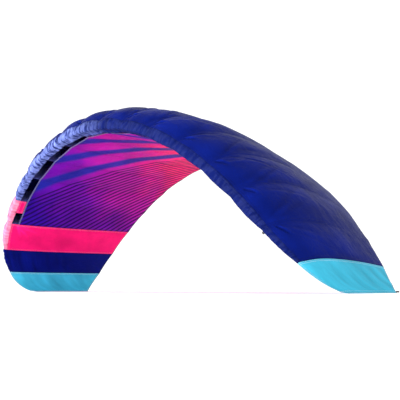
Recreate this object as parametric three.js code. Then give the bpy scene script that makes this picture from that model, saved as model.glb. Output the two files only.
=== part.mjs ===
// Foil kite: an arched cloth wing of air-filled cells that stands on its two wing tips.
// The span runs along X, the leading edge faces -Y and Z is up. Lengths are in millimetres.
import * as THREE from 'three';

// Driving dimensions of the wing
const HALF_SPAN = 1150;          // half of the flat span, measured along the cloth
const CENTRE_CHORD = 855;        // leading edge to trailing edge at the middle
const NOSE_SWEEP = 174;          // how far the leading edge has moved back at the tip
const TAIL_SWEEP = 143;          // how far the trailing edge has moved forward at the tip
const CORNER_SWEEP = 220;        // depth of the rounded corner of each tip
const CORNER_START = 0.695;      // span fraction where that corner starts
const TIP_SLOPE = 57.1;          // slope of the span line where the tip stands, in degrees
const SLOPE_EASING = 23.8;       // how much of the slope is gained early, in degrees

// The section, as shares of the chord
const UPPER_DEPTH = 0.116;
const LOWER_DEPTH = 0.012;
const TIP_FULLNESS = 0.06;       // share of the depth that is left at the tip edge
const FULL_UNTIL = 0.63;         // span fraction up to which the section keeps its full depth
const BAND_UPPER = 0.012;        // where the nose band ends on top
const BAND_FOOT = { middle: 0.21, tip: 0.13 };  // where the band ends below, as section places
const LIP = { middle: 0.286, tip: 0.252 };      // where the lower skin starts, behind the intake
const MOUTH_PINCH = { depth: 0.038, reach: 0.13 };  // the lip sags forward over the middle cells

// Ribs of one half, from the middle outwards, as span fractions
const RIBS = [0.055, 0.17, 0.29, 0.41, 0.54, 0.66, 0.79, 0.90];
const STEPS_PER_CELL = 4;
const [BAND_SEAM, PINK_SEAM, NAVY_SEAM, LAST_RIB] = RIBS.slice(4);
const MOUTH_SPLIT = (BAND_SEAM + PINK_SEAM) / 2;
const TIP_STATIONS = [0.928, 0.953, 0.974, 0.99, 1];

// How the cloth stands between the ribs
const UPPER_BULGE = 6;
const LOWER_BULGE = 4;
const NOSE_PUCKER = 5;           // extra draw-in at each rib just behind the nose
const TAIL_SCALLOP = 4;          // how far the trailing edge draws in between ribs

// Cloth, tape and clearances
const CLOTH = 1.2;
const RIB_CLOTH = 1;
const GAP = 0.3;
const LIP_TAPE = 0.8;
const LIP_TAPE_WIDTH = 6;

const MATERIALS = {
  blue: { color: '#1d2787', roughness: 0.55, metalness: 0 },
  cyan: { color: '#35a9dd', roughness: 0.5, metalness: 0 },
  print: { color: '#a23bb4', roughness: 0.55, metalness: 0 },
  pink: { color: '#fb2b78', roughness: 0.55, metalness: 0 },
  navy: { color: '#161a6e', roughness: 0.55, metalness: 0 },
  lavender: { color: '#8b93d6', roughness: 0.6, metalness: 0 },
  palePink: { color: '#ffaabf', roughness: 0.6, metalness: 0 },
  black: { color: '#15151c', roughness: 0.8, metalness: 0 },
  grey: { color: '#b9bcc9', roughness: 0.7, metalness: 0 },
};

const kite = new THREE.Group();

function addPiece(name, geometry, material) {
  const mesh = new THREE.Mesh(geometry, new THREE.MeshStandardMaterial(MATERIALS[material]));
  mesh.name = name;
  kite.add(mesh);
}

// The arch: slope, place and edges of the wing at span fraction t, from 0 at the middle to 1
function slopeAt(t) {
  const degrees = (TIP_SLOPE + SLOPE_EASING) * t - SLOPE_EASING * t ** 3;
  return THREE.MathUtils.degToRad(degrees);
}

const ARCH_STEPS = 400;
const archLine = [new THREE.Vector2(0, 0)];
for (let i = 1; i <= ARCH_STEPS; i += 1) {
  const slope = slopeAt((i - 0.5) / ARCH_STEPS);
  const step = new THREE.Vector2(Math.cos(slope), -Math.sin(slope));
  archLine.push(archLine[i - 1].clone().addScaledVector(step, HALF_SPAN / ARCH_STEPS));
}
const ARCH_HEIGHT = -archLine[ARCH_STEPS].y;

function archPoint(t) {
  const i = Math.min(Math.floor(t * ARCH_STEPS), ARCH_STEPS - 1);
  return archLine[i].clone().lerp(archLine[i + 1], t * ARCH_STEPS - i);
}

function noseLine(t) {
  const w = Math.max(0, (t - CORNER_START) / (1 - CORNER_START));
  return NOSE_SWEEP * t * t + CORNER_SWEEP * (1 - Math.sqrt(1 - w * w));
}

function chordAt(t) {
  return CENTRE_CHORD - TAIL_SWEEP * t * t - noseLine(t);
}

// Where t lies between its two ribs, from 0 to 1, and the number of that cell
const CELL_EDGES = [-RIBS[0], ...RIBS, 1];

function cellAt(t) {
  const number = Math.min(RIBS.filter((rib) => rib <= t).length, RIBS.length);
  const [from, to] = CELL_EDGES.slice(number, number + 2);
  return { share: (t - from) / (to - from), number };
}

function ballooning(t) {
  const { share, number } = cellAt(t);
  const unevenness = 1 + 0.22 * Math.sin(2.4 * number + 0.7);
  return 4 * share * (1 - share) * unevenness;
}

// The section at t is a curve in q: -1 at the trailing edge below, 0 at the nose, 1 at the
// trailing edge above. The chord share is q squared, which keeps the nose round.
function halfShape(x) {
  return 10 * (0.2969 * Math.sqrt(x) - 0.126 * x - 0.3516 * x ** 2 + 0.2843 * x ** 3 - 0.1036 * x ** 4);
}

function fullness(t) {
  const w = Math.max(0, (t - FULL_UNTIL) / (1 - FULL_UNTIL));
  return 1 - (1 - TIP_FULLNESS) * w * w;
}

function plainSection(t, q) {
  const chord = chordAt(t);
  const depth = (q > 0 ? UPPER_DEPTH : LOWER_DEPTH) * chord * fullness(t);
  const gapHalf = GAP / 2 * THREE.MathUtils.clamp(q * 4, -1, 1);
  return new THREE.Vector2(chord * q * q, Math.sign(q) * depth * halfShape(q * q) + gapHalf);
}

function sectionNormal(t, q) {
  const e = 0.002;
  const along = plainSection(t, Math.min(q + e, 1)).sub(plainSection(t, Math.max(q - e, -1)));
  return new THREE.Vector2(-along.y, along.x).normalize();
}

function clothShift(t, q) {
  const onTop = THREE.MathUtils.smoothstep(q, -0.2, 0.2);
  const bulge = THREE.MathUtils.lerp(LOWER_BULGE, UPPER_BULGE, onTop) * (1 - q ** 4) ** 0.8;
  const nearNose = Math.exp(-(((q - 0.22) / 0.13) ** 2)) * (t < TIP_STATIONS[0] ? 1 : 0);
  const balloon = ballooning(t);
  return bulge * balloon * fullness(t) - NOSE_PUCKER * nearNose * Math.max(0, 1 - 1.4 * balloon);
}

// Place s runs over the whole wing, from -1 at the left tip to 1 at the right tip
function place(s, y, n) {
  const t = Math.abs(s);
  const side = s < 0 ? -1 : 1;
  const slope = slopeAt(t);
  const base = archPoint(t);
  return new THREE.Vector3(
    side * (base.x + n * Math.sin(slope)),
    noseLine(t) + y - CENTRE_CHORD / 2,
    ARCH_HEIGHT + base.y + n * Math.cos(slope),
  );
}

// The inner face of the cloth within the section's plane, lifted outwards by a distance
function sectionPoint(s, q, lift = 0) {
  const t = Math.abs(s);
  const point = plainSection(t, q).addScaledVector(sectionNormal(t, q), clothShift(t, q) + lift);
  point.x -= TAIL_SCALLOP * Math.min(1, ballooning(t)) * q ** 6;
  return point;
}

function innerPoint(s, q) {
  const point = sectionPoint(s, q);
  return place(s, point.x, point.y);
}

function clothNormal(s, q) {
  const ds = 0.0008;
  const dq = 0.003;
  const alongSpan = innerPoint(Math.min(s + ds, 1), q).sub(innerPoint(Math.max(s - ds, -1), q));
  const alongChord = innerPoint(s, Math.min(q + dq, 1)).sub(innerPoint(s, Math.max(q - dq, -1)));
  return alongSpan.cross(alongChord).normalize();
}

// The tip edge stands level on the ground, so its points slide along the cloth to height 0
function levelAtTip(point, s) {
  if (Math.abs(s) < 1) return point;
  const slope = slopeAt(1);
  const slide = point.z / Math.sin(slope);
  return point.add(new THREE.Vector3(s * slide * Math.cos(slope), 0, -point.z));
}

function clothPoint(s, q, lift) {
  return levelAtTip(innerPoint(s, q).addScaledVector(clothNormal(s, q), lift), s);
}

// Meshes are built from vertices and triangles, turned so that their faces point out
function closedGeometry(points, triangles) {
  const edgeA = new THREE.Vector3();
  let volume = 0;
  triangles.forEach(([a, b, c]) => {
    volume += edgeA.crossVectors(points[a], points[b]).dot(points[c]);
  });
  const turned = volume > 0 ? triangles : triangles.map(([a, b, c]) => [a, c, b]);
  const geometry = new THREE.BufferGeometry().setFromPoints(points);
  geometry.setIndex(turned.flat());
  geometry.computeVertexNormals();
  return geometry;
}

// A cloth panel over a grid of span places and section places, with its own thickness
function clothPanel(places, sharesAt, thickness = CLOTH, lift = 0) {
  const columns = sharesAt(places[0]).length;
  const outer = [];
  const inner = [];
  places.forEach((s) => {
    sharesAt(s).forEach((q) => {
      outer.push(clothPoint(s, q, lift + thickness));
      inner.push(clothPoint(s, q, lift));
    });
  });
  const count = outer.length;
  const triangles = [];
  const rim = [];
  const at = (row, column) => row * columns + column;
  const lastRow = places.length - 1;
  const lastColumn = columns - 1;
  for (let row = 0; row < lastRow; row += 1) {
    for (let column = 0; column < lastColumn; column += 1) {
      const [a, b] = [at(row, column), at(row + 1, column)];
      const [c, d] = [at(row + 1, column + 1), at(row, column + 1)];
      triangles.push([a, b, c], [a, c, d]);
      triangles.push([a + count, c + count, b + count], [a + count, d + count, c + count]);
    }
  }
  for (let row = 0; row < lastRow; row += 1) rim.push(at(row, 0));
  for (let column = 0; column < lastColumn; column += 1) rim.push(at(lastRow, column));
  for (let row = lastRow; row > 0; row -= 1) rim.push(at(row, lastColumn));
  for (let column = lastColumn; column > 0; column -= 1) rim.push(at(0, column));
  rim.forEach((u, i) => {
    const v = rim[(i + 1) % rim.length];
    triangles.push([v, u, u + count], [v, u + count, v + count]);
  });
  return closedGeometry([...outer, ...inner], triangles);
}

// Half of a seam's gap, as a step in s or as a step in q to either side
const SEAM_STEP = GAP / 2 / HALF_SPAN;

function seamShare(s, q, way) {
  const dq = 0.004;
  return GAP / 2 * dq / innerPoint(s, q + way * dq).distanceTo(innerPoint(s, q));
}

// Section places from one edge to the other, evenly spaced between the marks, and drawn in by
// half a gap at each seam. Every mark is the end of a stretch with its own number of steps.
function shareList(marksAt, steps) {
  return (s) => {
    const marks = marksAt(Math.abs(s));
    const places = [marks[0]];
    steps.forEach((count, i) => {
      for (let k = 1; k <= count; k += 1) {
        places.push(THREE.MathUtils.lerp(marks[i], marks[i + 1], k / count));
      }
    });
    return places.map((q, i) => {
      if (i === 0 && q > -1) return q + seamShare(s, q, 1);
      if (i === places.length - 1 && q < 1) return q - seamShare(s, q, -1);
      return q;
    });
  };
}

// Span places of every rib and of the steps between ribs, from one seam to the other
const ALL_PLACES = [0, RIBS[0] / 2, RIBS[0]];
RIBS.slice(1).forEach((rib, i) => {
  for (let k = 1; k <= STEPS_PER_CELL; k += 1) {
    ALL_PLACES.push(THREE.MathUtils.lerp(RIBS[i], rib, k / STEPS_PER_CELL));
  }
});
ALL_PLACES.push(...TIP_STATIONS);
const WHOLE_SPAN = [...ALL_PLACES.slice(1).map((t) => -t).reverse(), ...ALL_PLACES];

function placesBetween(from, to) {
  const e = 0.0001;
  const between = WHOLE_SPAN.filter((s) => s > from + e && s < to - e);
  const start = from > -1 ? from + SEAM_STEP : from;
  const end = to < 1 ? to - SEAM_STEP : to;
  return [start, ...between, end];
}

// Edges between the cloths, as section places
const BAND_TOP = Math.sqrt(BAND_UPPER);
const NOSE_SEAM = 0.03;          // the lower tip cloth ends this far below the foremost line

function bandFootAt(t) {
  return -THREE.MathUtils.lerp(BAND_FOOT.middle, BAND_FOOT.tip, t);
}

function lipAt(t) {
  const pinch = MOUTH_PINCH.depth * Math.exp(-((t / MOUTH_PINCH.reach) ** 2));
  return pinch - THREE.MathUtils.lerp(LIP.middle, LIP.tip, t);
}

const UPPER_STEPS = 11;
const LOWER_STEPS = 9;
const NOSE_STEPS = 3;            // on each side of the foremost line
const MOUTH_STEPS = 2;

const upperShares = shareList(() => [BAND_TOP, 1], [UPPER_STEPS]);
const bandShares = shareList((t) => [bandFootAt(t), 0, BAND_TOP], [NOSE_STEPS, NOSE_STEPS]);
const mouthShares = shareList((t) => [lipAt(t), bandFootAt(t)], [MOUTH_STEPS]);
const lowerShares = shareList((t) => [-1, lipAt(t)], [LOWER_STEPS]);
const closedShares = shareList((t) => [-1, bandFootAt(t)], [LOWER_STEPS + 1]);
const upperTipShares = shareList(() => [0, BAND_TOP, 1], [NOSE_STEPS, UPPER_STEPS]);
const lowerTipShares = shareList(
  (t) => [-1, bandFootAt(t), -NOSE_SEAM], [LOWER_STEPS + 1, NOSE_STEPS],
);

addPiece('skin_upper_blue', clothPanel(placesBetween(-LAST_RIB, LAST_RIB), upperShares), 'blue');
addPiece('skin_lower_print', clothPanel(placesBetween(-PINK_SEAM, PINK_SEAM), lowerShares), 'print');
addPiece('nose_band_blue', clothPanel(placesBetween(-BAND_SEAM, LAST_RIB), bandShares), 'lavender');
addPiece('nose_band_pink_left', clothPanel(placesBetween(-NAVY_SEAM, -BAND_SEAM), bandShares), 'palePink');
addPiece('nose_band_navy_left', clothPanel(placesBetween(-LAST_RIB, -NAVY_SEAM), bandShares), 'navy');

// A piece that is made once for each half of the wing
function addPair(name, from, to, shares, material) {
  addPiece(`${name}_right`, clothPanel(placesBetween(from, to), shares), material);
  addPiece(`${name}_left`, clothPanel(placesBetween(-to, -from), shares), material);
}

addPair('skin_upper_tip', LAST_RIB, 1, upperTipShares, 'cyan');
addPair('skin_lower_tip', LAST_RIB, 1, lowerTipShares, 'cyan');
addPair('skin_lower_pink', PINK_SEAM, NAVY_SEAM, closedShares, 'pink');
addPair('skin_lower_navy', NAVY_SEAM, LAST_RIB, closedShares, 'navy');
addPair('mouth_panel_pink', BAND_SEAM, MOUTH_SPLIT, mouthShares, 'pink');

// Tape along the front edge of the printed panel, on its outer face
function lipTapeShares(s) {
  const edge = lipAt(Math.abs(s));
  const back = -Math.sqrt(edge ** 2 + LIP_TAPE_WIDTH / chordAt(Math.abs(s)));
  return [back, edge - seamShare(s, edge, -1)];
}
const lipTapePlaces = placesBetween(-PINK_SEAM, PINK_SEAM);
addPiece('lip_tape', clothPanel(lipTapePlaces, lipTapeShares, LIP_TAPE, CLOTH + GAP), 'grey');

// Ribs: flat profiles just inside the cloth, each with two round vent holes
const RIB_INSET = 0.6;
const VENT_PLACES = [0.16, 0.36]; // along the chord
const VENT_SHARE = 0.27;         // radius as a share of the rib's height there
const VENT_SIDES = 10;

function ribOutline(s) {
  const open = Math.abs(s) < PINK_SEAM + SEAM_STEP;
  const lower = open ? lowerShares(s) : closedShares(s).slice(0, -1);
  const upper = upperShares(s);
  const shares = [...lower.slice(1), ...bandShares(s), ...upper.slice(1, -1)];
  return shares.map((q) => sectionPoint(s, q, -RIB_INSET));
}

function ribGeometry(s) {
  const shape = new THREE.Shape(ribOutline(s));
  VENT_PLACES.forEach((x) => {
    const top = sectionPoint(s, Math.sqrt(x));
    const foot = sectionPoint(s, -Math.sqrt(x));
    const radius = VENT_SHARE * (top.y - foot.y);
    const centre = top.clone().add(foot).divideScalar(2);
    const corners = Array.from({ length: VENT_SIDES }, (_, i) => {
      const angle = i / VENT_SIDES * Math.PI * 2;
      return new THREE.Vector2(Math.cos(angle), Math.sin(angle)).multiplyScalar(radius).add(centre);
    });
    shape.holes.push(new THREE.Path(corners));
  });
  const geometry = new THREE.ExtrudeGeometry(shape, { depth: RIB_CLOTH, bevelEnabled: false });
  geometry.translate(0, 0, -RIB_CLOTH / 2);
  const origin = place(s, 0, 0);
  const alongChord = new THREE.Vector3(0, 1, 0);
  const up = place(s, 0, 1).sub(origin);
  const across = new THREE.Vector3().crossVectors(alongChord, up);
  geometry.applyMatrix4(new THREE.Matrix4().makeBasis(alongChord, up, across).setPosition(origin));
  return geometry;
}

RIBS.forEach((t, i) => {
  addPiece(`rib_right_${i + 1}`, ribGeometry(t), 'blue');
  addPiece(`rib_left_${i + 1}`, ribGeometry(-t), 'blue');
});

// A small black tab on the underside of the leading edge, at the seam of the pink band
const TAB = { width: 10, length: 9, thickness: 2, share: -0.14 };

function tabGeometry(s) {
  const half = TAB.width / 2;
  const shape = new THREE.Shape();
  shape.moveTo(-half, 0);
  shape.lineTo(half, 0);
  shape.lineTo(half, TAB.length - half / 2);
  shape.lineTo(half / 2, TAB.length);
  shape.lineTo(-half / 2, TAB.length);
  shape.lineTo(-half, TAB.length - half / 2);
  const geometry = new THREE.ExtrudeGeometry(shape, { depth: TAB.thickness, bevelEnabled: false });
  geometry.translate(0, 0, -TAB.thickness / 2);
  const normal = clothNormal(s, TAB.share);
  const forward = new THREE.Vector3(0, 1, 0).cross(normal).normalize();
  const across = new THREE.Vector3().crossVectors(forward, normal);
  const root = innerPoint(s, TAB.share).addScaledVector(normal, CLOTH + GAP + TAB.thickness * 0.3);
  geometry.applyMatrix4(new THREE.Matrix4().makeBasis(forward, normal, across).setPosition(root));
  return geometry;
}

addPiece('nose_tab', tabGeometry(NAVY_SEAM), 'black');

// A small loop of black tape at the trailing corner of the right tip, pointing back
const LOOP = { length: 17, width: 5, tape: 1.2, height: 6, clearance: 2, turn: 90 };

function loopGeometry() {
  const outline = (inset) => {
    const radius = LOOP.width / 2 - inset;
    const far = LOOP.length - LOOP.width / 2;
    const path = inset > 0 ? new THREE.Path() : new THREE.Shape();
    path.absarc(0, 0, radius, Math.PI / 2, Math.PI * 1.5, false);
    path.absarc(far, 0, radius, -Math.PI / 2, Math.PI / 2, false);
    path.closePath();
    return path;
  };
  const shape = outline(0);
  shape.holes.push(outline(LOOP.tape));
  const geometry = new THREE.ExtrudeGeometry(shape, {
    depth: LOOP.height, bevelEnabled: false, curveSegments: 5,
  });
  geometry.rotateZ(THREE.MathUtils.degToRad(LOOP.turn));
  const corner = place(1, chordAt(1), 0);
  const back = 2 * GAP + LOOP.width / 2;
  geometry.translate(corner.x, corner.y + back, LOOP.clearance);
  return geometry;
}

addPiece('tip_loop', loopGeometry(), 'black');

// The origin is at the middle of the footprint, on the ground
const bounds = new THREE.Box3().setFromObject(kite, true);
const middle = bounds.getCenter(new THREE.Vector3());
kite.position.set(-middle.x, -middle.y, -bounds.min.z);

export default kite;
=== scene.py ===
# %% [markdown]
# # A foil kite that stands on its wing tips
#
# This kite is a soft wing. Air goes in through slots behind the leading edge and blows the cells
# up, and profile ribs hold the upper and the lower cloth apart. On the ground, with the air let
# out, the stiff coated cloth keeps the arch and the wing stands on its two tips.
#
# The frame comes first. It holds the plain solids of the wing in metres: the span runs along X,
# the leading edge faces -Y and Z is up. Everything below is cut and sewn onto that frame.

# %% Load the frame
import math

import bmesh
import bpy
import numpy as np
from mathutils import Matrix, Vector, noise


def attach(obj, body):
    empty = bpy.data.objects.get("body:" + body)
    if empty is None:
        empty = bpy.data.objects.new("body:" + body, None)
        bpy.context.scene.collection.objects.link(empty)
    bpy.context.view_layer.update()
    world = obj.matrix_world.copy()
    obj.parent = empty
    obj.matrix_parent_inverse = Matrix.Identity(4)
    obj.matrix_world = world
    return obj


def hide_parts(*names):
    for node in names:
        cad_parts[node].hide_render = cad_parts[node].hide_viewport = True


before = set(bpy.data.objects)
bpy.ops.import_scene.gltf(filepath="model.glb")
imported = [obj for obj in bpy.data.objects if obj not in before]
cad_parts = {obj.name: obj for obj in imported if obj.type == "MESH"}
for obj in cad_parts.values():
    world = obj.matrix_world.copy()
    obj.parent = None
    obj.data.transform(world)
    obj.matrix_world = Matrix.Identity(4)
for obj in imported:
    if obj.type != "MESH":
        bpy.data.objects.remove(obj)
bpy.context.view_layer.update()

# %% [markdown]
# ## The camera
#
# The wing is seen from low down in front of its right half, with a moderately long lens. A camera
# is set up first, because every later step is judged through it. It looks a little upwards, and
# that is why both the printed underside and the blue top can be seen at once.

# %% Camera
CAMERA_PLACE = Vector((2.120, -2.0196, 0.0195))
CAMERA_TARGET = Vector((0.2640, -0.0640, 0.3609))
SENSOR_WIDTH = 36.0
LENS = 62.29

camera_data = bpy.data.cameras.new("camera")
camera_data.sensor_fit = "HORIZONTAL"
camera_data.sensor_width = SENSOR_WIDTH
camera_data.lens = LENS
camera_data.clip_end = 200.0
camera = bpy.data.objects.new("camera", camera_data)
camera.location = CAMERA_PLACE
camera.rotation_euler = (CAMERA_TARGET - CAMERA_PLACE).to_track_quat("-Z", "Y").to_euler()
bpy.context.scene.collection.objects.link(camera)
bpy.context.scene.camera = camera
print("camera at", tuple(round(v, 3) for v in CAMERA_PLACE), "with a", LENS, "mm lens")

# %% [markdown]
# ## The form of the wing
#
# A wing is drawn with two curves. Seen from the front, its middle line is an arch. Seen from the
# side, each rib is a flat-bottomed profile. A place on the cloth then needs only two numbers: the
# span place s, from -1 at the left tip to 1 at the right tip, and the section place q, from -1 at
# the trailing edge below, through 0 at the nose, to 1 at the trailing edge above.
#
# One could also cut up the solids of the frame and smooth them. But with the two curves the cloth
# can be made as fine as its wrinkles ask for, and it still lies exactly on the frame. The functions
# turn many pairs into points at once, with numpy, because loops over so many points are slow.

# %% Arch and outline
HALF_SPAN = 1.150                # half of the flat span, along the cloth
CENTRE_CHORD = 0.855
NOSE_SWEEP = 0.174               # how far the leading edge has moved back at the tip
TAIL_SWEEP = 0.143               # how far the trailing edge has moved forward at the tip
CORNER_SWEEP = 0.220             # depth of the rounded corner of each tip
CORNER_START = 0.695
TIP_SLOPE = 57.1                 # degrees
SLOPE_EASING = 23.8
RIBS = np.array([0.055, 0.17, 0.29, 0.41, 0.54, 0.66, 0.79, 0.90])
BAND_SEAM, PINK_SEAM, NAVY_SEAM, LAST_RIB = (float(rib) for rib in RIBS[4:])
MOUTH_SPLIT = (BAND_SEAM + PINK_SEAM) / 2
FRAME_SHIFT = 0.0035             # the frame is centred on its box along Y
ARCH_STEPS = 400


def slope_at(t):
    return np.radians((TIP_SLOPE + SLOPE_EASING) * t - SLOPE_EASING * t ** 3)


arch_t = np.linspace(0.0, 1.0, ARCH_STEPS + 1)
arch_step = HALF_SPAN / ARCH_STEPS
arch_slope = slope_at((arch_t[1:] + arch_t[:-1]) / 2)
arch_x = np.concatenate([[0.0], np.cumsum(np.cos(arch_slope) * arch_step)])
arch_z = np.concatenate([[0.0], -np.cumsum(np.sin(arch_slope) * arch_step)])
ARCH_HEIGHT = -arch_z[-1]


def nose_line(t):
    w = np.clip((t - CORNER_START) / (1 - CORNER_START), 0, 1)
    return NOSE_SWEEP * t ** 2 + CORNER_SWEEP * (1 - np.sqrt(1 - w ** 2))


def chord_at(t):
    return CENTRE_CHORD - TAIL_SWEEP * t ** 2 - nose_line(t)


def place(s, y, n):
    """Points at span place s, y behind the nose line and n out from the arch."""
    t = np.abs(s)
    side = np.where(s < 0, -1.0, 1.0)
    slope = slope_at(t)
    x = side * (np.interp(t, arch_t, arch_x) + n * np.sin(slope))
    z = ARCH_HEIGHT + np.interp(t, arch_t, arch_z) + n * np.cos(slope)
    return np.stack([x, nose_line(t) + y - CENTRE_CHORD / 2 + FRAME_SHIFT, z], axis=-1)


print("the arch is", round(ARCH_HEIGHT, 3), "m high and", round(2 * arch_x[-1], 3), "m wide")

# %% [markdown]
# ## The section
#
# The section is a thin wing profile: round on top and nearly flat below. It is a formula with a
# root and a few powers, known from old tables of wing sections. Drawing each rib by hand would
# give the same shape with far more points to keep in order.

# %% Section
UPPER_DEPTH = 0.116
LOWER_DEPTH = 0.012
TIP_FULLNESS = 0.06
FULL_UNTIL = 0.63
SKIN_GAP = 0.0003                # between the two cloths at the trailing edge
BAND_TOP = math.sqrt(0.012)
BAND_FOOT = {"middle": 0.21, "tip": 0.13}
LIP = {"middle": 0.286, "tip": 0.252}
LIP_PINCH = {"depth": 0.038, "reach": 0.13}


def band_foot(t):
    return -(BAND_FOOT["middle"] + (BAND_FOOT["tip"] - BAND_FOOT["middle"]) * t)


def lip(t):
    """Front edge of the printed cloth, drawn up to the nose band at the middle of the wing."""
    pinch = LIP_PINCH["depth"] * np.exp(-(t / LIP_PINCH["reach"]) ** 2)
    return pinch - (LIP["middle"] + (LIP["tip"] - LIP["middle"]) * t)


def half_shape(x):
    return 10 * (0.2969 * np.sqrt(x) - 0.126 * x - 0.3516 * x ** 2 + 0.2843 * x ** 3
                 - 0.1036 * x ** 4)


def fullness(t):
    w = np.clip((t - FULL_UNTIL) / (1 - FULL_UNTIL), 0, 1)
    return 1 - (1 - TIP_FULLNESS) * w ** 2


def plain_section(t, q):
    chord = chord_at(t)
    depth = np.where(q > 0, UPPER_DEPTH, LOWER_DEPTH) * chord * fullness(t)
    gap = SKIN_GAP / 2 * np.clip(q * 4, -1, 1)
    return np.stack([chord * q ** 2, np.sign(q) * depth * half_shape(q ** 2) + gap], axis=-1)


print("the middle section is", round(UPPER_DEPTH * CENTRE_CHORD, 3), "m deep above its chord")

# %% [markdown]
# ## The puffed cells
#
# Between two ribs the cloth stands out like a pillow, and at each rib it is drawn in, most of all
# just behind the nose. That gives the row of soft cells which everybody knows from such kites. The
# cells aren't all alike: a slow sine over their numbers makes some of them a little fuller.

# %% Cells
UPPER_BULGE = 0.006
LOWER_BULGE = 0.004
NOSE_PUCKER = 0.005
TAIL_SCALLOP = 0.004
PUCKER_PLACE = 0.22              # section place of the deepest pucker
PUCKER_REACH = 0.13
PUCKER_END = 0.928               # no pucker outside this span place
CELL_EDGES = np.array([-RIBS[0], *RIBS, 1.0])


def smooth(value, low, high):
    """Rises softly from 0 at low to 1 at high. With low above high it falls instead."""
    w = np.clip((value - low) / (high - low), 0, 1)
    return w * w * (3 - 2 * w)


def ballooning(t):
    number = np.minimum(np.searchsorted(RIBS, t, side="right"), len(RIBS))
    share = (t - CELL_EDGES[number]) / (CELL_EDGES[number + 1] - CELL_EDGES[number])
    return 4 * share * (1 - share) * (1 + 0.22 * np.sin(2.4 * number + 0.7))


def section_point(s, q):
    t = np.abs(s)
    along = plain_section(t, np.minimum(q + 0.002, 1)) - plain_section(t, np.maximum(q - 0.002, -1))
    normal = np.stack([-along[..., 1], along[..., 0]], axis=-1)
    normal /= np.linalg.norm(normal, axis=-1, keepdims=True)
    balloon = ballooning(t)
    bulge = LOWER_BULGE + (UPPER_BULGE - LOWER_BULGE) * smooth(q, -0.2, 0.2)
    shift = bulge * (1 - np.abs(q) ** 4) ** 0.8 * balloon * fullness(t)
    near_nose = np.exp(-((q - PUCKER_PLACE) / PUCKER_REACH) ** 2) * (t < PUCKER_END)
    shift -= NOSE_PUCKER * near_nose * np.maximum(0, 1 - 1.4 * balloon)
    point = plain_section(t, q) + normal * shift[..., None]
    point[..., 0] -= TAIL_SCALLOP * np.minimum(1, balloon) * q ** 6
    return point


def inner_point(s, q):
    """A point on the inner face of the cloth."""
    point = section_point(s, q)
    return place(s, point[..., 0], point[..., 1])


def cloth_normal(s, q):
    """The outward direction, from small steps along the span and along the section."""
    span_step = inner_point(np.minimum(s + 0.0008, 1), q) - inner_point(np.maximum(s - 0.0008, -1), q)
    chord_step = inner_point(s, np.minimum(q + 0.003, 1)) - inner_point(s, np.maximum(q - 0.003, -1))
    normal = np.cross(span_step, chord_step)
    return normal / np.linalg.norm(normal, axis=-1, keepdims=True)


print(2 * len(RIBS) + 1, "cells between", 2 * len(RIBS), "ribs and the two tips")

# %% [markdown]
# ## Lengths along the cloth
#
# A sail maker measures along the cloth and not along the chord. So the girth of the section is
# added up once, in small steps, and read off from then on. Every pattern, stitch and flat size
# below is given in these lengths.

# %% Girth
girth_q = np.linspace(0, 1, 401)
girth_steps = {}
for side in (1, -1):
    outline = plain_section(np.zeros_like(girth_q), side * girth_q) / CENTRE_CHORD
    steps = np.linalg.norm(np.diff(outline, axis=0), axis=1)
    girth_steps[side] = np.concatenate([[0.0], np.cumsum(steps)])


def girth(t, q):
    """Distance along the cloth from the nose, in metres, negative below."""
    up = np.interp(np.abs(q), girth_q, girth_steps[1])
    down = np.interp(np.abs(q), girth_q, girth_steps[-1])
    return np.where(q > 0, up, -down) * chord_at(t)


print("girth of the middle section:", round(float(girth(0.0, 1.0) - girth(0.0, -1.0)), 3), "m")

# %% [markdown]
# ## Soft dents
#
# Real cloth is never as smooth as a formula. A cloth simulation could make its folds, but this
# cloth is pulled taut by its ribs, and its folds are only a few millimetres high. So they are
# added as small heights, which keeps every panel close to its solid. The first kind are soft dents
# from noise, large ones with smaller ones on top. They fade out at the ribs, so no rib pokes out.

# %% Noise and dents
SEED = 7


def noise_field(u, v, across, along, seed):
    """Smooth noise from -1 to 1, with the sizes of its blobs in metres."""
    flat = zip((u / across).ravel(), (v / along).ravel())
    values = [noise.noise(Vector((a, b, seed + 0.37))) for a, b in flat]
    return np.array(values).reshape(u.shape)


def rib_distance(s):
    t = np.abs(s)[..., None]
    return np.min(np.abs(t - RIBS), axis=-1) * HALF_SPAN


def soft_dents(s, q):
    u, v = s * HALF_SPAN, girth(np.abs(s), q)
    large = 0.0026 * noise_field(u, v, 0.14, 0.20, SEED)
    small = 0.0014 * noise_field(u, v, 0.05, 0.09, SEED + 5)
    return (large + small) * smooth(rib_distance(s), 0.0, 0.03)


print("dents are up to 4 mm high")

# %% [markdown]
# ## Drag lines
#
# Where the upper cloth is gathered at a rib, short creases run back from it. Each one is a narrow
# valley with a small ridge beside it. Their places are drawn at random, but from a fixed seed, so
# the wing looks the same each time.

# %% Drag lines
PUCKERED_RIBS = np.concatenate([-RIBS[:7], RIBS[:7]])
LINES_PER_RIB = 7

drag_lines = []
draw = np.random.default_rng(SEED)
for rib in PUCKERED_RIBS:
    for _ in range(LINES_PER_RIB):
        drag_lines.append((
            rib + draw.uniform(-0.03, 0.03), draw.uniform(0.04, 0.10), draw.uniform(-0.5, 0.5),
            draw.uniform(0.08, 0.30), draw.uniform(0.0010, 0.0026), draw.uniform(0.004, 0.009),
        ))


def drag_folds(s, q):
    """Valley and ridge of each line: start, first, slant, length, depth and width."""
    u, v = s * HALF_SPAN, girth(np.abs(s), q)
    height = np.zeros_like(u)
    for start, first, slant, length, depth, width in drag_lines:
        run = v - first
        off = u - start * HALF_SPAN - slant * run
        reach = np.exp(-((run - length / 2) / (length / 2)) ** 2)
        height -= depth * reach * np.exp(-(off / width) ** 2)
        height += 0.6 * depth * reach * np.exp(-((off - 1.8 * width) / width) ** 2)
    return height * smooth(rib_distance(s), 0.0, 0.012)


print(len(drag_lines), "drag lines behind the nose")

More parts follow.
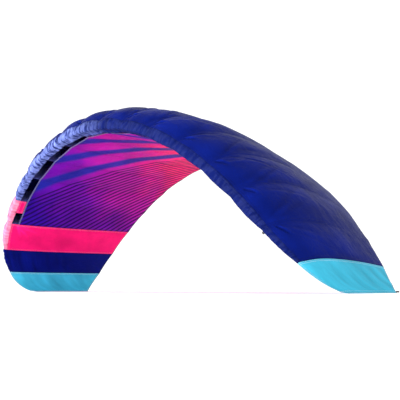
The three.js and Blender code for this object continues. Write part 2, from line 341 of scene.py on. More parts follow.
# %% [markdown]
# ## Hooked dimples and full cell fronts
#
# Beside each rib, just behind the nose band, the upper cloth has one deep dimple that hooks
# towards the tip. It comes from the seam, which shortens the cloth there. And because the air
# presses hardest at the front, the front half of each cell is fuller than its rear half.

# %% Dimples and fronts
HOOK_START = 0.004               # distance from the rib
HOOK_LENGTH = 0.050
HOOK_BACK = 0.048                # distance behind the nose
HOOK_BEND = 0.022
HOOK_DEPTH = 0.0045
HOOK_WIDTH = 0.0045
HOOK_RIDGE = 0.0026
RIDGE_OFF = 0.010
RIDGE_WIDTH = 0.006
FRONT_SWELL = 0.0050


def hook_creases(s, q):
    u, v = s * HALF_SPAN, girth(np.abs(s), q)
    height = np.zeros_like(u)
    for rib in PUCKERED_RIBS:
        side = 1 if rib > 0 else -1
        run = (u - rib * HALF_SPAN) * side - HOOK_START
        off = v - HOOK_BACK - HOOK_BEND * np.sin(np.clip(run, 0, HOOK_LENGTH) * 31)
        reach = smooth(run, 0.0, 0.006) * smooth(run, HOOK_LENGTH, 0.020)
        height -= HOOK_DEPTH * reach * np.exp(-(off / HOOK_WIDTH) ** 2)
        height += HOOK_RIDGE * reach * np.exp(-((off - RIDGE_OFF) / RIDGE_WIDTH) ** 2)
    return height


def plump_front(s, q):
    v = girth(np.abs(s), q)
    swell = FRONT_SWELL * ballooning(np.abs(s)) * smooth(v, 0.03, 0.08) * smooth(v, 0.55, 0.15)
    return np.where(np.abs(s) < LAST_RIB, swell, 0)


print(len(PUCKERED_RIBS), "dimples,", HOOK_DEPTH * 1000, "mm deep")

# %% [markdown]
# ## The folds of each panel
#
# Each panel gets its own mix. The upper cloth has dents, drag lines, dimples and, near the tips,
# long folds along the span. The underside only has dents. Creases fan out over the pink cloth from
# the ends of the mouths, because the cloth is pulled there. The navy and the cyan cloth hang more
# loosely and have upright folds.

# %% Folds of the large panels
MOUTH_PULLS = (
    # slant, reach, height
    (0.9, 0.12, 0.004),
    (1.9, 0.09, 0.003),
    (0.35, 0.16, 0.003),
)


def upper_folds(s, q):
    t = np.abs(s)
    u, v = s * HALF_SPAN, girth(t, q)
    long_folds = 0.0012 * noise_field(u, v, 0.30, 0.035, SEED + 9) * smooth(t, 0.6, 0.85)
    drawn = drag_folds(s, q) * (1 - 0.5 * smooth(t, 0.5, 0.8))
    loose = soft_dents(s, q) + drawn + hook_creases(s, q)
    return loose + long_folds * smooth(rib_distance(s), 0.0, 0.02)


def lower_folds(s, q):
    return 0.7 * soft_dents(s, q)


def corner_pulls(s, q):
    u = (np.abs(s) - PINK_SEAM) * HALF_SPAN
    v = -girth(np.abs(s), q) - 0.045
    height = np.zeros_like(u)
    for slant, reach, rise in MOUTH_PULLS:
        off = (u - slant * v) / math.hypot(1, slant)
        along = (v + slant * u) / math.hypot(1, slant)
        ends = smooth(along, 0.0, 0.02) * smooth(along, reach, 0.3 * reach)
        height += rise * np.exp(-(off / 0.006) ** 2) * ends
    return lower_folds(s, q) + height * smooth(rib_distance(s), 0.0, 0.006)


def hanging_folds(s, q):
    u, v = s * HALF_SPAN, girth(np.abs(s), q)
    large = 0.0042 * noise_field(u, v, 0.16, 0.022, SEED + 6)
    small = 0.0012 * noise_field(u, v, 0.05, 0.011, SEED + 8)
    return (large + small) * smooth(rib_distance(s), 0.0, 0.02) * smooth(-v, 0.5, 0.1)


def tip_folds(s, q):
    u, v = s * HALF_SPAN, girth(np.abs(s), q)
    large = 0.0020 * noise_field(u, v, 0.16, 0.045, SEED + 3)
    small = 0.0010 * noise_field(u, v, 0.05, 0.02, SEED + 4)
    ends = smooth(np.abs(s), LAST_RIB, LAST_RIB + 0.02) * smooth(np.abs(s), 1.0, 0.985)
    return (large + small) * ends


print(len(MOUTH_PULLS), "creases fan out from each mouth end")

# %% [markdown]
# ## The wrinkles of the nose band
#
# The band round the leading edge isn't stretched by anything. It lies in tight cross wrinkles,
# about 1 cm apart. On the left half they are deep. To the right of the middle the band is
# smoother, and its foot sags a little towards the mouth.

# %% Band wrinkles
WRINKLE_HEIGHT = 0.0028
BAND_SAG = 0.006


def band_folds(s, q):
    u, v = s * HALF_SPAN, girth(np.abs(s), q)
    wide = noise_field(u, v, 0.011, 0.060, SEED + 1)
    narrow = noise_field(u, v, 0.006, 0.030, SEED + 2)
    slack = 1 - 0.7 * smooth(s, 0.05, 0.35)
    sag = BAND_SAG * smooth(s, -0.08, 0.04) * smooth(s, 0.5, 0.2) * smooth(-v, 0.015, 0.045)
    wrinkle = WRINKLE_HEIGHT * (wide + 0.5 * narrow) * slack
    return wrinkle * smooth(rib_distance(s), 0.0, 0.010) + sag


print("band wrinkles are up to", WRINKLE_HEIGHT * 1500, "mm high")

# %% [markdown]
# ## Marking out a panel
#
# Each panel starts as a flat grid, like cloth on the cutting table. The grid has a column on every
# rib, so a seam always runs along a row of edges, and it ends a little short of the seams at its
# two sides, so neighbours never touch.

# %% Marking out
CLOTH = 0.0012                   # from the inner face of the solid cloth to its outer face
SHEET_THICKNESS = 0.0008
SEAM_GAP = 0.00015               # half of the gap between neighbouring panels
CELL_WIDTH = 0.12                # about one cell, as a share of the half span


def span_places(start, end, per_cell):
    """Span places from start to end, with a column on every rib."""
    ribs = [float(side * rib) for rib in RIBS for side in (-1, 1)]
    stops = [start, *sorted(rib for rib in ribs if start + 1e-6 < rib < end - 1e-6), end]
    places = [start + (SEAM_GAP / HALF_SPAN if start > -1 else 0)]
    for a, b in zip(stops, stops[1:]):
        steps = max(2, round(per_cell * (b - a) / CELL_WIDTH))
        places.extend(a + (b - a) * k / steps for k in range(1, steps + 1))
    places[-1] -= SEAM_GAP / HALF_SPAN if end < 1 else 0
    return np.array(places)


def flat_size(start, end, edges):
    """Width, greatest length and area of a panel on the cutting table."""
    strips = np.abs(np.linspace(start, end, 201))
    lengths = girth(strips, edges[1](strips)) - girth(strips, edges[0](strips))
    width, length = (end - start) * HALF_SPAN, float(lengths.max())
    area = float(np.mean((lengths[1:] + lengths[:-1]) / 2)) * width
    return width, length, min(area, width * length)


print("the middle cell gets", len(span_places(-RIBS[0], RIBS[0], 26)), "columns in the upper cloth")

# %% [markdown]
# ## Laying a panel on the wing
#
# The flat place of each point is kept as a UV map in metres, so that weave, print and stitches can
# follow the threads later. Then every point is moved onto the wing. Three numbers stay with it: the
# distances to the nearest rib seam and to the nearest hem, because the stitches need them, and the
# height of the fold, because valleys get painted shade and ridges painted light. At the tips the cloth is cut
# off flat on the floor. The Solidify modifier gives the cloth its thickness afterwards.

# %% Panel maker
def finish_mesh(bm, name, material):
    for face in bm.faces:
        face.smooth = True
    mesh = bpy.data.meshes.new(name)
    bm.to_mesh(mesh)
    bm.free()
    piece = bpy.data.objects.new(name, mesh)
    mesh.materials.append(material)
    bpy.context.scene.collection.objects.link(piece)
    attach(piece, "root")
    return piece


def stand_on_floor(points, s):
    """The ends of the tips slide down along their own slope until they meet the floor."""
    at_tip = np.abs(s) >= 1
    slide = points[:, 2] / math.tan(float(slope_at(1.0)))
    points[:, 0] += np.where(at_tip, np.sign(s) * slide, 0)
    points[:, 2] = np.where(at_tip, 0, np.maximum(points[:, 2], 0.0002))


def face_outward(bm, s, q):
    bm.normal_update()
    bm.faces.ensure_lookup_table()
    middle = bm.faces[len(bm.faces) // 2]
    index = middle.verts[0].index
    outward = Vector(cloth_normal(s[index:index + 1], q[index:index + 1])[0])
    if middle.normal.dot(outward) < 0:
        bmesh.ops.reverse_faces(bm, faces=bm.faces)


def cut_panel(name, start, end, edges, per_cell, rows, folds, material, lift=CLOTH):
    """A cloth panel from span place start to end, between two section edges given as functions."""
    spans = span_places(start, end, per_cell)
    columns = len(spans) - 1
    bm = bmesh.new()
    cloth_uv = bm.loops.layers.uv.new("cloth")
    layers = [bm.verts.layers.float.new(kind) for kind in ("rib_gap", "hem_gap", "fold")]
    bmesh.ops.create_grid(bm, x_segments=columns, y_segments=rows, size=0.5)
    bm.verts.ensure_lookup_table()

    flat = np.array([vert.co[:2] for vert in bm.verts]) + 0.5
    s = spans[np.round(flat[:, 0] * columns).astype(int)]
    t = np.abs(s)
    low, high = edges[0](t), edges[1](t)
    q = low + (high - low) * flat[:, 1]
    u, v = s * HALF_SPAN, girth(t, q)
    side_gap = np.minimum(np.abs(s - start), np.abs(s - end)) * HALF_SPAN
    rib_gap = np.minimum(rib_distance(s), side_gap)
    hem_gap = np.minimum(v - girth(t, low), girth(t, high) - v)
    heights = folds(s, q)
    points = inner_point(s, q) + cloth_normal(s, q) * (lift + heights + plump_front(s, q))[:, None]
    stand_on_floor(points, s)

    for vert, point, *values in zip(bm.verts, points, rib_gap, hem_gap, heights):
        vert.co = point
        for layer, value in zip(layers, values):
            vert[layer] = value
    for face in bm.faces:
        for loop in face.loops:
            loop[cloth_uv].uv = (u[loop.vert.index], v[loop.vert.index])
    face_outward(bm, s, q)

    piece = finish_mesh(bm, name, material)
    solid = piece.modifiers.new("cloth thickness", "SOLIDIFY")
    solid.thickness = SHEET_THICKNESS
    solid.offset = -1
    width, length, area = flat_size(start, end, edges)
    print(f"{name}: {len(s)} points, cut {width:.3f} x {length:.3f} m, {area:.3f} m2")
    return piece


print("sheets are", SHEET_THICKNESS * 1000, "mm thick and lie", CLOTH * 1000, "mm off the inner face")

# %% [markdown]
# ## Nodes and colours
#
# Materials are made from nodes, and one small function adds a node with its settings and links. A
# few others stand for the steps that come back all the time: arithmetic, a change of range, noise,
# and a blend of two colours. Colours are given as on a colour card and turned to linear light.

# %% Node helpers
def linear(code):
    """A colour card value such as #1d2787 as linear light."""
    parts = [int(code[i:i + 2], 16) / 255 for i in (1, 3, 5)]
    return tuple(c / 12.92 if c <= 0.04045 else ((c + 0.055) / 1.055) ** 2.4 for c in parts) + (1.0,)


def node(tree, kind, inputs=None, **settings):
    """Adds one node, sets it up, and links or fills the inputs that are named."""
    made = tree.nodes.new(kind)
    for key, value in settings.items():
        setattr(made, key, value)
    for key, value in (inputs or {}).items():
        if isinstance(value, bpy.types.NodeSocket):
            tree.links.new(value, made.inputs[key])
        else:
            made.inputs[key].default_value = value
    return made


def calculate(tree, operation, *values):
    return node(tree, "ShaderNodeMath", dict(enumerate(values)), operation=operation).outputs[0]


def rescale(tree, value, low, high, first=0.0, last=1.0):
    """Turns the range low to high into first to last."""
    return node(tree, "ShaderNodeMapRange", {0: value, 1: low, 2: high, 3: first, 4: last}).outputs[0]


def speckle(tree, vector, per_metre, detail, roughness=0.5, distortion=0.0):
    """Noise from about 0.3 to 0.7, with so many blobs to the metre."""
    return node(tree, "ShaderNodeTexNoise", {
        "Vector": vector, "Scale": per_metre, "Detail": detail,
        "Roughness": roughness, "Distortion": distortion,
    }).outputs[0]


def blend_colours(tree, share, first, second, mode="MIX"):
    mix = node(tree, "ShaderNodeMix", data_type="RGBA", blend_type=mode)
    for socket, value in ((mix.inputs[0], share), (mix.inputs[6], first), (mix.inputs[7], second)):
        if isinstance(value, bpy.types.NodeSocket):
            tree.links.new(value, socket)
        else:
            socket.default_value = value
    return mix.outputs[2]


def darken(tree, colour, tone):
    """Multiplies a colour by a plain tone."""
    grey = node(tree, "ShaderNodeCombineColor", {0: tone, 1: tone, 2: tone}).outputs[0]
    return blend_colours(tree, 1.0, colour, grey, "MULTIPLY")


def line_at(tree, value, centre, half_width):
    """1 where value lies within half_width of centre, with a soft edge."""
    off = calculate(tree, "ABSOLUTE", calculate(tree, "SUBTRACT", value, centre))
    return rescale(tree, off, half_width * 0.5, half_width, 1.0, 0.0)


def new_material(name):
    material = bpy.data.materials.new(name)
    material.use_nodes = True
    material.node_tree.nodes.clear()
    return material, material.node_tree


print("royal blue in linear light:", tuple(round(c, 3) for c in linear("#06145e")))

# %% [markdown]
# ## Threads and stitches
#
# The wing is made of ripstop: thin coated polyester with a square net of thicker threads that
# stops tears. The net is true to size, 5 mm. The stitches have their real length, 3 mm, but are
# drawn about three times as wide as real thread, or they would be lost. Two rows run along each
# side of a seam and along each hem. They find their place by the distances kept with each point.

# %% Net and stitches
NET = 0.005                      # spacing of the ripstop net
NET_THREAD = 0.0005
STITCH = 0.0032                  # one stitch and the gap after it
STITCH_FADE = (0.0004, 0.0007)
STITCH_WIDTH = 0.0006            # half of the drawn width
SEAM_ROWS = (0.0022, 0.0075)     # rows of stitches on both sides of a rib seam


def net_lines(tree, flat):
    lines = [line_at(tree, calculate(tree, "PINGPONG", flat[axis], NET / 2), 0.0, NET_THREAD)
             for axis in (0, 1)]
    return calculate(tree, "MAXIMUM", *lines)


def stitch_rows(tree, rib_gap, hem_gap, flat):
    rows = []
    for gap, run in ((rib_gap, flat[1]), (hem_gap, flat[0])):
        dash = rescale(tree, calculate(tree, "PINGPONG", run, STITCH / 2), *STITCH_FADE)
        for row in SEAM_ROWS:
            seam = line_at(tree, gap, row, STITCH_WIDTH)
            rows.append(calculate(tree, "MULTIPLY", seam, dash))
    stitches = rows[0]
    for row in rows[1:]:
        stitches = calculate(tree, "MAXIMUM", stitches, row)
    return stitches


print("net of", NET * 1000, "mm and stitches of", STITCH * 1000, "mm")

# %% [markdown]
# ## Coated ripstop
#
# One function builds the cloth, and a colour goes into it, either plain or as a pattern. The thin
# coating gives a soft plastic gloss, which is weak here, so the colours stay deep. It also makes
# the cloth crease in small flat facets, and these are a bump. Valleys get painted shade and ridges
# get painted light, by the height of the fold. A dark line is painted along the rear hems, partly the
# dark edge of the cloth and partly painted shade of the gap between the cloths.

# %% Ripstop cloth
GLOSS = 0.18
COATING_IOR = 1.12
ROUGHNESS_SPREAD = 0.07
BLOTCHES = 9.0                   # per metre
FACETS = 26.0                    # per metre
SHINE_SPOTS = 40.0               # per metre
FOLD_HEIGHT = 0.003              # valleys and ridges of this height have the full tone
# Painted shade in the valleys and painted light on the ridges, by fold height
PAINTED_FOLD_SHADE_AND_LIGHT = (0.62, 1.38)
# Dark line along the hems: partly the dark cloth edge, partly painted shade of the gap between the cloths
HEM_AND_GAP_SHADE = "#060716"
HEM_LINE = (0.0012, 0.0036)
REAR_HALF = (0.10, 0.16)         # the hem line fades in over this distance from the nose
HEM_FOLD = (0.009, 0.0102)
CREASE_DEPTH = 0.0012
NET_RELIEF = 0.00008
HEM_RELIEF = 0.0003
STITCH_DEPTH = 0.0004
BUMP_STRENGTH = 1.3


def blotches_and_painted_fold_shade(tree, uv, fold, mottle):
    """Random blotches, with painted shade in the valleys and painted light on the ridges."""
    blotches = rescale(tree, speckle(tree, uv, BLOTCHES, 4.0, 0.6), 0.3, 0.7, 1 - mottle, 1 + mottle)
    # Painted shade and light: darker valleys and lighter ridges, from the fold height
    valleys = rescale(tree, fold, -FOLD_HEIGHT, FOLD_HEIGHT, *PAINTED_FOLD_SHADE_AND_LIGHT)
    return calculate(tree, "MULTIPLY", blotches, valleys)


def hem_line_and_gap_shade(tree, hem_gap, flat):
    edge = rescale(tree, hem_gap, *HEM_LINE, 0.75, 0.0)
    rear = rescale(tree, calculate(tree, "ABSOLUTE", flat[1]), *REAR_HALF)
    return calculate(tree, "MULTIPLY", edge, rear)


def cloth_relief(tree, uv, net, stitches, seam_gap, crinkle):
    """Height of facets, net, folded hems and stitches, in metres."""
    facets = speckle(tree, uv, FACETS, 5.0, 0.55, 0.8)
    ridges = calculate(tree, "ABSOLUTE", calculate(tree, "SUBTRACT", facets, 0.5))
    ridges = calculate(tree, "MULTIPLY", ridges, 2.0)
    folded = rescale(tree, seam_gap, *HEM_FOLD, 1.0, 0.0)
    height = calculate(tree, "MULTIPLY", ridges, -CREASE_DEPTH * crinkle)
    for part, relief in ((net, NET_RELIEF), (folded, HEM_RELIEF), (stitches, -STITCH_DEPTH)):
        height = calculate(tree, "MULTIPLY_ADD", part, relief, height)
    return height


def ripstop(name, colour, roughness=0.40, crinkle=1.0, thread="#0d0f26", mottle=0.14):
    """Coated ripstop polyester. colour is a card value or a function that gives a colour socket."""
    material, tree = new_material(name)
    uv = node(tree, "ShaderNodeUVMap", uv_map="cloth").outputs[0]
    flat = node(tree, "ShaderNodeSeparateXYZ", {0: uv}).outputs
    rib_gap, hem_gap, fold = (
        node(tree, "ShaderNodeAttribute", attribute_name=kind).outputs["Fac"]
        for kind in ("rib_gap", "hem_gap", "fold"))
    base = colour(tree, uv, flat) if callable(colour) else linear(colour)
    net = net_lines(tree, flat)
    stitches = stitch_rows(tree, rib_gap, hem_gap, flat)

    # Painted fold shade and light on the colour, together with random blotches
    toned = darken(tree, base, blotches_and_painted_fold_shade(tree, uv, fold, mottle))
    netted = blend_colours(tree, calculate(tree, "MULTIPLY", net, 0.12), toned, base)
    sewn = blend_colours(tree, calculate(tree, "MULTIPLY", stitches, 0.6), netted, linear(thread))
    # Painted dark line at the rear hems: the cloth edge and painted shade of the gap
    sewn = blend_colours(tree, hem_line_and_gap_shade(tree, hem_gap, flat), sewn, linear(HEM_AND_GAP_SHADE))

    seam_gap = calculate(tree, "MINIMUM", rib_gap, hem_gap)
    height = cloth_relief(tree, uv, net, stitches, seam_gap, crinkle)
    bump = node(tree, "ShaderNodeBump", {"Height": height, "Strength": 1.0, "Distance": BUMP_STRENGTH})
    rough = rescale(tree, speckle(tree, uv, SHINE_SPOTS, 3.0), 0.3, 0.7,
                    roughness - ROUGHNESS_SPREAD, roughness + ROUGHNESS_SPREAD)
    shader = node(tree, "ShaderNodeBsdfPrincipled", {
        "Base Color": sewn, "Roughness": rough, "Specular IOR Level": GLOSS, "IOR": COATING_IOR,
        "Normal": bump.outputs[0],
    })
    node(tree, "ShaderNodeOutputMaterial", {"Surface": shader.outputs[0]})
    return material


# A deep blue whose sharp crinkles catch the light
blue_ripstop = ripstop("coated_ripstop_royal_blue", "#06145e", crinkle=1.5)
# A light, clear cyan with white thread, so its seams show
cyan_ripstop = ripstop("coated_ripstop_cyan", "#38a0bc", thread="#f2f6ff")
# A strong pink that glows in the white light
pink_ripstop = ripstop("coated_ripstop_hot_pink", "#dc1464", thread="#ff9fc0")
# A nearly black blue with broad blotches, so its soft folds can be read
navy_ripstop = ripstop("coated_ripstop_navy", "#040c5c", mottle=0.2)
print("plain cloths are ready")

# %% [markdown]
# ## The printed cloth
#
# The underside is dyed: violet at the leading edge and low down, hot pink towards the trailing
# edge and the top. Plain blue bands of one width cross it at a slant, evenly spaced, and dark
# pinstripes fill the corner beside the last one. This is a plain sports pattern. It is drawn from
# the cloth's own UV map, so it follows the threads as dye does. The pinstripes are coarser than on
# a real print, so that the eye still sees them from a few steps away.

# %% Dyed pattern
PRINT_REACH = PINK_SEAM * HALF_SPAN
DYE_STOPS = ((0.10, "#2c0888"), (0.32, "#640a92"), (0.54, "#a81290"), (0.78, "#f01c6c"))
DYE_BLUR = 0.35
DYE_CLOUDS = 5.0                 # per metre
BAND_BLUE = "#161f86"
BAND_SLOPE = 0.87
LAST_BAND = 0.43                 # middle of the band next to the pinstripes
BAND_SPACING = 0.15
BAND_HALF = 0.040
STRIPE = 0.024                   # pinstripe spacing
STRIPE_FADE = (STRIPE * 0.14, STRIPE * 0.28)
STRIPE_FIELD = (0.492, 0.504)
STRIPE_INK = "#16033c"


def dye_fade(tree, blur, flat, back):
    """Violet low down and in front, pink at the top and behind."""
    low = calculate(tree, "DIVIDE", calculate(tree, "ABSOLUTE", flat[0]), PRINT_REACH)
    up = calculate(tree, "SUBTRACT", 1.0, low)
    up, back = (calculate(tree, "MULTIPLY", part, 0.50) for part in (up, back))
    mixed = calculate(tree, "ADD", up, back)
    ramp = node(tree, "ShaderNodeValToRGB", {0: calculate(tree, "MULTIPLY_ADD", blur, DYE_BLUR, mixed)})
    ramp.color_ramp.interpolation = "EASE"
    while len(ramp.color_ramp.elements) < len(DYE_STOPS):
        ramp.color_ramp.elements.new(0.5)
    for element, (at, code) in zip(ramp.color_ramp.elements, DYE_STOPS):
        element.position = at
        element.color = linear(code)
    return ramp.outputs[0]


def dyed_pattern(tree, uv, flat):
    v = calculate(tree, "MULTIPLY", flat[1], -1.0)
    blur = calculate(tree, "SUBTRACT", speckle(tree, uv, DYE_CLOUDS, 5.0, 0.6), 0.5)
    ground = dye_fade(tree, blur, flat, calculate(tree, "DIVIDE", v, CENTRE_CHORD))

    run = calculate(tree, "SUBTRACT", calculate(tree, "MULTIPLY", v, BAND_SLOPE), flat[0])
    striped = calculate(tree, "DIVIDE", run, math.hypot(1, BAND_SLOPE))
    edge = calculate(tree, "MULTIPLY_ADD", blur, 0.012, striped)
    off = calculate(tree, "PINGPONG", calculate(tree, "SUBTRACT", edge, LAST_BAND), BAND_SPACING / 2)
    before_last = calculate(tree, "LESS_THAN", edge, LAST_BAND + BAND_SPACING / 2)
    bands = calculate(tree, "MULTIPLY", line_at(tree, off, 0.0, BAND_HALF), before_last)
    banded = blend_colours(tree, calculate(tree, "MULTIPLY", bands, 0.95), ground, linear(BAND_BLUE))

    wave = calculate(tree, "PINGPONG", striped, STRIPE / 2)
    pinstripes = rescale(tree, wave, *STRIPE_FADE, 1.0, 0.0)
    field = rescale(tree, striped, *STRIPE_FIELD)
    pinstripes = calculate(tree, "MULTIPLY", calculate(tree, "MULTIPLY", pinstripes, field), 0.92)
    return blend_colours(tree, pinstripes, banded, linear(STRIPE_INK))


# Dye on ripstop, which keeps the net and the gloss of the cloth under the colours
print_ripstop = ripstop("dyed_ripstop_violet_to_pink", dyed_pattern, thread="#2a0a50")
print("bands every", BAND_SPACING * 1000, "mm and pinstripes every", STRIPE * 1000, "mm")

# %% [markdown]
# ## The cloth of the nose band
#
# The ridges of the band's wrinkles are painted as a pale lavender sheen, where the light falls on
# them, while the valleys stay blue; the pink part of the band is painted paler in the same way. The
# painted sheen is strong on the left half and nearly gone on the right, and towards the upper cloth
# it ends in an uneven line. So the colour follows the flat place in the UV map, and its noise is
# drawn out across the band, as the wrinkles are.

# %% Bleached cloth
WRINKLE_STRETCH = 0.28
WRINKLES = 95.0                  # per metre
PAINTED_SHEEN_SPAN = (0.10, -0.16)    # from no painted sheen to full painted sheen, along the span
PAINTED_SHEEN_END = (0.030, 0.055)      # distance behind the nose at which the painted sheen ends
SHEEN_SCALLOPS = 24.0           # per metre
PINK_WRINKLES = 60.0             # per metre


def cross_wrinkles(tree, uv, stretch, per_metre, detail, distortion=0.0):
    drawn_out = node(tree, "ShaderNodeMapping", {"Vector": uv, "Scale": (1.0, stretch, 1.0)}).outputs[0]
    return speckle(tree, drawn_out, per_metre, detail, 0.6, distortion)


def painted_sheen_blue(tree, uv, flat):
    # Painted sheen: pale lavender on the wrinkle ridges, strong on the left half, fading towards the upper
    # cloth
    pale = rescale(tree, cross_wrinkles(tree, uv, WRINKLE_STRETCH, WRINKLES, 4.0, 0.5), 0.42, 0.56, 0.12, 1.0)
    left = rescale(tree, flat[0], *PAINTED_SHEEN_SPAN, 0.05, 1.0)
    scallops = calculate(tree, "SUBTRACT", speckle(tree, uv, SHEEN_SCALLOPS, 3.0), 0.5)
    uneven = calculate(tree, "MULTIPLY_ADD", scallops, 0.09, flat[1])
    fade = rescale(tree, uneven, *PAINTED_SHEEN_END, 1.0, 0.15)
    share = calculate(tree, "MULTIPLY", pale, calculate(tree, "MULTIPLY", left, fade))
    return blend_colours(tree, share, linear("#04104c"), linear("#6c7abc"))


# Painted light: the band's pink is a paler copy of the pink cloth, palest on its wrinkle ridges
def painted_sheen_pink(tree, uv, flat):
    pale = rescale(tree, cross_wrinkles(tree, uv, 0.3, PINK_WRINKLES, 3.0), 0.35, 0.6, 0.3, 1.0)
    return blend_colours(tree, pale, linear("#d84878"), linear("#e08ca8"))


# Duller cloth with a painted pale sheen on the crisp ridges of its wrinkles
band_ripstop = ripstop("ripstop_blue_painted_lavender_sheen", painted_sheen_blue, roughness=0.5, crinkle=1.5)
band_pink_ripstop = ripstop(
    "ripstop_pink_painted_pale_sheen", painted_sheen_pink, roughness=0.5, crinkle=1.2, thread="#ff5f94")
print("printed and bleached cloths are ready")

# %% [markdown]
# ## Sewing the wing
#
# Now the panels are cut. The table names, for each one, the span places where it starts and ends,
# its two section edges, how finely it is divided, its folds, its cloth and its slot in the parts
# list. Every panel takes the place of the plain solid with the same name. The band has by far the
# closest columns, because its wrinkles are the narrowest.

# %% Panel edges
def top_edge(t):
    return np.full_like(t, BAND_TOP)


def tail_above(t):
    return np.ones_like(t)


def tail_below(t):
    return -np.ones_like(t)


def nose(t):
    return np.zeros_like(t)


ABOVE = (top_edge, tail_above)
BELOW = (tail_below, lip)
BAND = (band_foot, top_edge)
TIP_ABOVE = (nose, tail_above)
TIP_BELOW = (tail_below, nose)
SIDE = (tail_below, band_foot)
CLOSING = (lip, band_foot)
print("the nose band reaches", round(float(girth(0.0, BAND_TOP)), 3), "m over the nose")

# %% [markdown]
# ## The table of panels
#
# The upper cloth is one wide piece and the underside is pieced together from colours. Each piece
# could be typed out on its own, but a table shows the whole cutting plan at a glance.

# %% Panels
PANELS = (
    # name, start, end, edges, columns per cell, rows, folds, cloth, slot
    ("skin_upper_blue", -LAST_RIB, LAST_RIB, ABOVE, 26, 150, upper_folds, blue_ripstop, "cloth_blue"),
    ("skin_lower_print", -PINK_SEAM, PINK_SEAM, BELOW, 16, 72, lower_folds, print_ripstop, "cloth_print"),
    ("nose_band_blue", -BAND_SEAM, LAST_RIB, BAND, 44, 22, band_folds, band_ripstop, "cloth_band"),
    ("nose_band_pink_left", -NAVY_SEAM, -BAND_SEAM, BAND, 36, 20, band_folds, band_pink_ripstop,
     "cloth_band_pink"),
    ("nose_band_navy_left", -LAST_RIB, -NAVY_SEAM, BAND, 24, 18, band_folds, navy_ripstop, "cloth_navy"),
    ("skin_upper_tip_right", LAST_RIB, 1.0, TIP_ABOVE, 24, 84, tip_folds, cyan_ripstop, "cloth_cyan"),
    ("skin_upper_tip_left", -1.0, -LAST_RIB, TIP_ABOVE, 24, 84, tip_folds, cyan_ripstop, "cloth_cyan"),
    ("skin_lower_tip_right", LAST_RIB, 1.0, TIP_BELOW, 24, 72, tip_folds, cyan_ripstop, "cloth_cyan"),
    ("skin_lower_tip_left", -1.0, -LAST_RIB, TIP_BELOW, 24, 72, tip_folds, cyan_ripstop, "cloth_cyan"),
    ("skin_lower_pink_right", PINK_SEAM, NAVY_SEAM, SIDE, 30, 110, corner_pulls, pink_ripstop, "cloth_pink"),
    ("skin_lower_pink_left", -NAVY_SEAM, -PINK_SEAM, SIDE, 30, 110, corner_pulls, pink_ripstop, "cloth_pink"),
    ("skin_lower_navy_right", NAVY_SEAM, LAST_RIB, SIDE, 20, 96, hanging_folds, navy_ripstop, "cloth_navy"),
    ("skin_lower_navy_left", -LAST_RIB, -NAVY_SEAM, SIDE, 20, 96, hanging_folds, navy_ripstop, "cloth_navy"),
    ("mouth_panel_pink_right", BAND_SEAM, MOUTH_SPLIT, CLOSING, 24, 8, lower_folds, pink_ripstop,
     "cloth_pink"),
    ("mouth_panel_pink_left", -MOUTH_SPLIT, -BAND_SEAM, CLOSING, 24, 8, lower_folds, pink_ripstop,
     "cloth_pink"),
)

for name, start, end, edges, per_cell, rows, folds, cloth, slot in PANELS:
    piece = cut_panel("cloth_" + name, start, end, edges, per_cell, rows, folds, cloth)
    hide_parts(name)
    flat_size(start, end, edges)

# %% [markdown]
# ## Lip tape
#
# A narrow tape binds the front edge of the printed cloth, so that the mouths don't fray. It is
# woven, so it is dull and a little rough, and that sets it off from the coated cloth. It is cut
# with the same function as the panels, 6 mm wide, and lies on top of the printed cloth. Its weave
# is drawn at 1 mm, which is coarser than real thread.

# %% Tape
TAPE_WIDTH = 0.006
TAPE_LIFT = 0.0011               # above the outer face of the printed cloth


def woven_tape(name, code, spacing):
    """Plain-woven narrow fabric: crossing rows of threads."""
    material, tree = new_material(name)
    place_on = node(tree, "ShaderNodeTexCoord").outputs["Object"]
    along = node(tree, "ShaderNodeSeparateXYZ", {0: place_on}).outputs
    threads = [calculate(tree, "PINGPONG", along[axis], spacing / 2) for axis in range(3)]
    weave = calculate(tree, "ADD", calculate(tree, "ADD", threads[0], threads[1]), threads[2])
    toned = darken(tree, linear(code), rescale(tree, weave, 0.0, spacing, 0.7, 1.15))
    bump = node(tree, "ShaderNodeBump", {"Height": weave, "Strength": 0.8, "Distance": 1.0})
    shader = node(tree, "ShaderNodeBsdfPrincipled", {
        "Base Color": toned, "Roughness": 0.75, "Sheen Weight": 0.2, "Normal": bump.outputs[0],
    })
    node(tree, "ShaderNodeOutputMaterial", {"Surface": shader.outputs[0]})
    return material


def tape_back(t):
    return -np.sqrt(lip(t) ** 2 + TAPE_WIDTH / chord_at(t))


# A dull grey blue line that ends the printed cloth
grey_tape = woven_tape("woven_polyester_tape_grey", "#44477c", 0.0010)
lip_tape = cut_panel("cloth_lip_tape", -PINK_SEAM, PINK_SEAM, (tape_back, lip), 16, 2, lower_folds,
                     grey_tape, lift=CLOTH + TAPE_LIFT)
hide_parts("lip_tape")
print("the lip tape is", TAPE_WIDTH * 1000, "mm wide")

# %% [markdown]
# ## Ribs
#
# The ribs are plain uncoated cloth and can only be glimpsed through the intakes. They are flat, so
# a finer copy would add nothing. The frame's own ribs stay and only get a cloth finish.

# %% Ribs
# Dull blue cloth, dark in the depth of the mouths. Its weave is drawn much coarser than real
rib_cloth = woven_tape("uncoated_ripstop_rib_blue", "#20288c", 0.0030)
for number, t in enumerate(RIBS, start=1):
    for side in ("right", "left"):
        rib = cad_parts[f"rib_{side}_{number}"]
        rib.data.materials.clear()
        rib.data.materials.append(rib_cloth)

# %% [markdown]
# ## What is cloth
#
# The flat size of each cloth is printed as it is cut, so that a later user knows what to cut. The ribs
# and seams keep all of them stretched. The upper cloth rests on the first ribs, and the tape is sewn
# to the printed cloth.

# %% [markdown]
# ## Tab and loop
#
# A small tab sits on the leading edge and a small loop at the corner of the right tip. Both are
# folded webbing and only a few millimetres wide, so the frame's solids are fine enough.

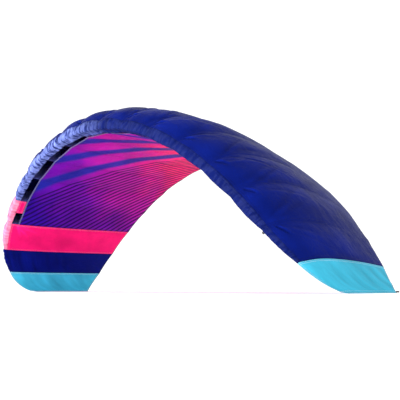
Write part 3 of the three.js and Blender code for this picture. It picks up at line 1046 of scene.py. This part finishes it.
# %% Tab and loop
# Black webbing that stands out as two dark specks
black_webbing = woven_tape("woven_polyamide_webbing_black", "#15151c", 0.0012)
for name in ("nose_tab", "tip_loop"):
    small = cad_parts[name]
    small.data.materials.clear()
    small.data.materials.append(black_webbing)
    print(name, "keeps its place and gets the weave of webbing")

# %% [markdown]
# ## Floor
#
# The wing stands on a plain pale floor. The floor glows faintly, like a lit studio table, and so
# it stays white under the wing and the camera, which is just above it, sees no dark line.

# %% Floor
FLOOR_HALF = 40.0
FLOOR_TONES = (0.93, 0.96)
FLOOR_GLOW = 0.15

# Matt paint that gives a soft white without any reflection
floor_material, floor_tree = new_material("matt_painted_floor_white")
floor_place = node(floor_tree, "ShaderNodeTexCoord").outputs["Object"]
floor_tone = rescale(floor_tree, speckle(floor_tree, floor_place, 1.5, 3.0), 0.0, 1.0, *FLOOR_TONES)
floor_colour = node(floor_tree, "ShaderNodeCombineColor", {0: floor_tone, 1: floor_tone, 2: floor_tone})
floor_shader = node(floor_tree, "ShaderNodeBsdfPrincipled", {
    "Base Color": floor_colour.outputs[0], "Roughness": 0.9, "Specular IOR Level": 0.0,
    "Emission Color": (1.0, 1.0, 1.0, 1.0), "Emission Strength": FLOOR_GLOW,
})
node(floor_tree, "ShaderNodeOutputMaterial", {"Surface": floor_shader.outputs[0]})

floor_mesh = bmesh.new()
bmesh.ops.create_grid(floor_mesh, x_segments=2, y_segments=2, size=FLOOR_HALF)
floor_data = bpy.data.meshes.new("studio_floor")
floor_mesh.to_mesh(floor_data)
floor_mesh.free()
floor_data.materials.append(floor_material)
floor = bpy.data.objects.new("studio_floor", floor_data)
bpy.context.scene.collection.objects.link(floor)
print("floor laid")

# %% [markdown]
# ## Light
#
# The studio is even and bright. A white world gives light from everywhere, so the printed
# underside is as clear as the top. Three large soft lamps add the gentle gloss that tells coated
# cloth from paper. The low one in front reaches under the wing.

# %% Light
WORLD_STRENGTH = 1.2
LAMPS = (
    # name, place, aimed at, size, watts
    ("softbox_front_left", (-2.2, -2.6, 2.0), (-0.1, -0.2, 0.4), 1.2, 60),
    ("softbox_back_right", (2.4, 1.6, 2.4), (0.4, 0.0, 0.4), 1.6, 8),
    ("softbox_front_low", (1.0, -3.0, 0.2), (-0.5, 0.0, 0.2), 1.2, 150),
)

world = bpy.data.worlds.new("white_studio")
world.use_nodes = True
background = world.node_tree.nodes["Background"]
background.inputs["Color"].default_value = (1.0, 1.0, 1.0, 1.0)
background.inputs["Strength"].default_value = WORLD_STRENGTH
bpy.context.scene.world = world
bpy.context.scene.view_settings.view_transform = "Standard"

for name, spot, aim, size, watts in LAMPS:
    lamp_data = bpy.data.lights.new(name, "AREA")
    lamp_data.shape = "SQUARE"
    lamp_data.size = size
    lamp_data.energy = watts
    lamp = bpy.data.objects.new(name, lamp_data)
    lamp.location = spot
    lamp.rotation_euler = (Vector(aim) - Vector(spot)).to_track_quat("-Z", "Y").to_euler()
    bpy.context.scene.collection.objects.link(lamp)
print("world and", len(LAMPS), "lamps are set")
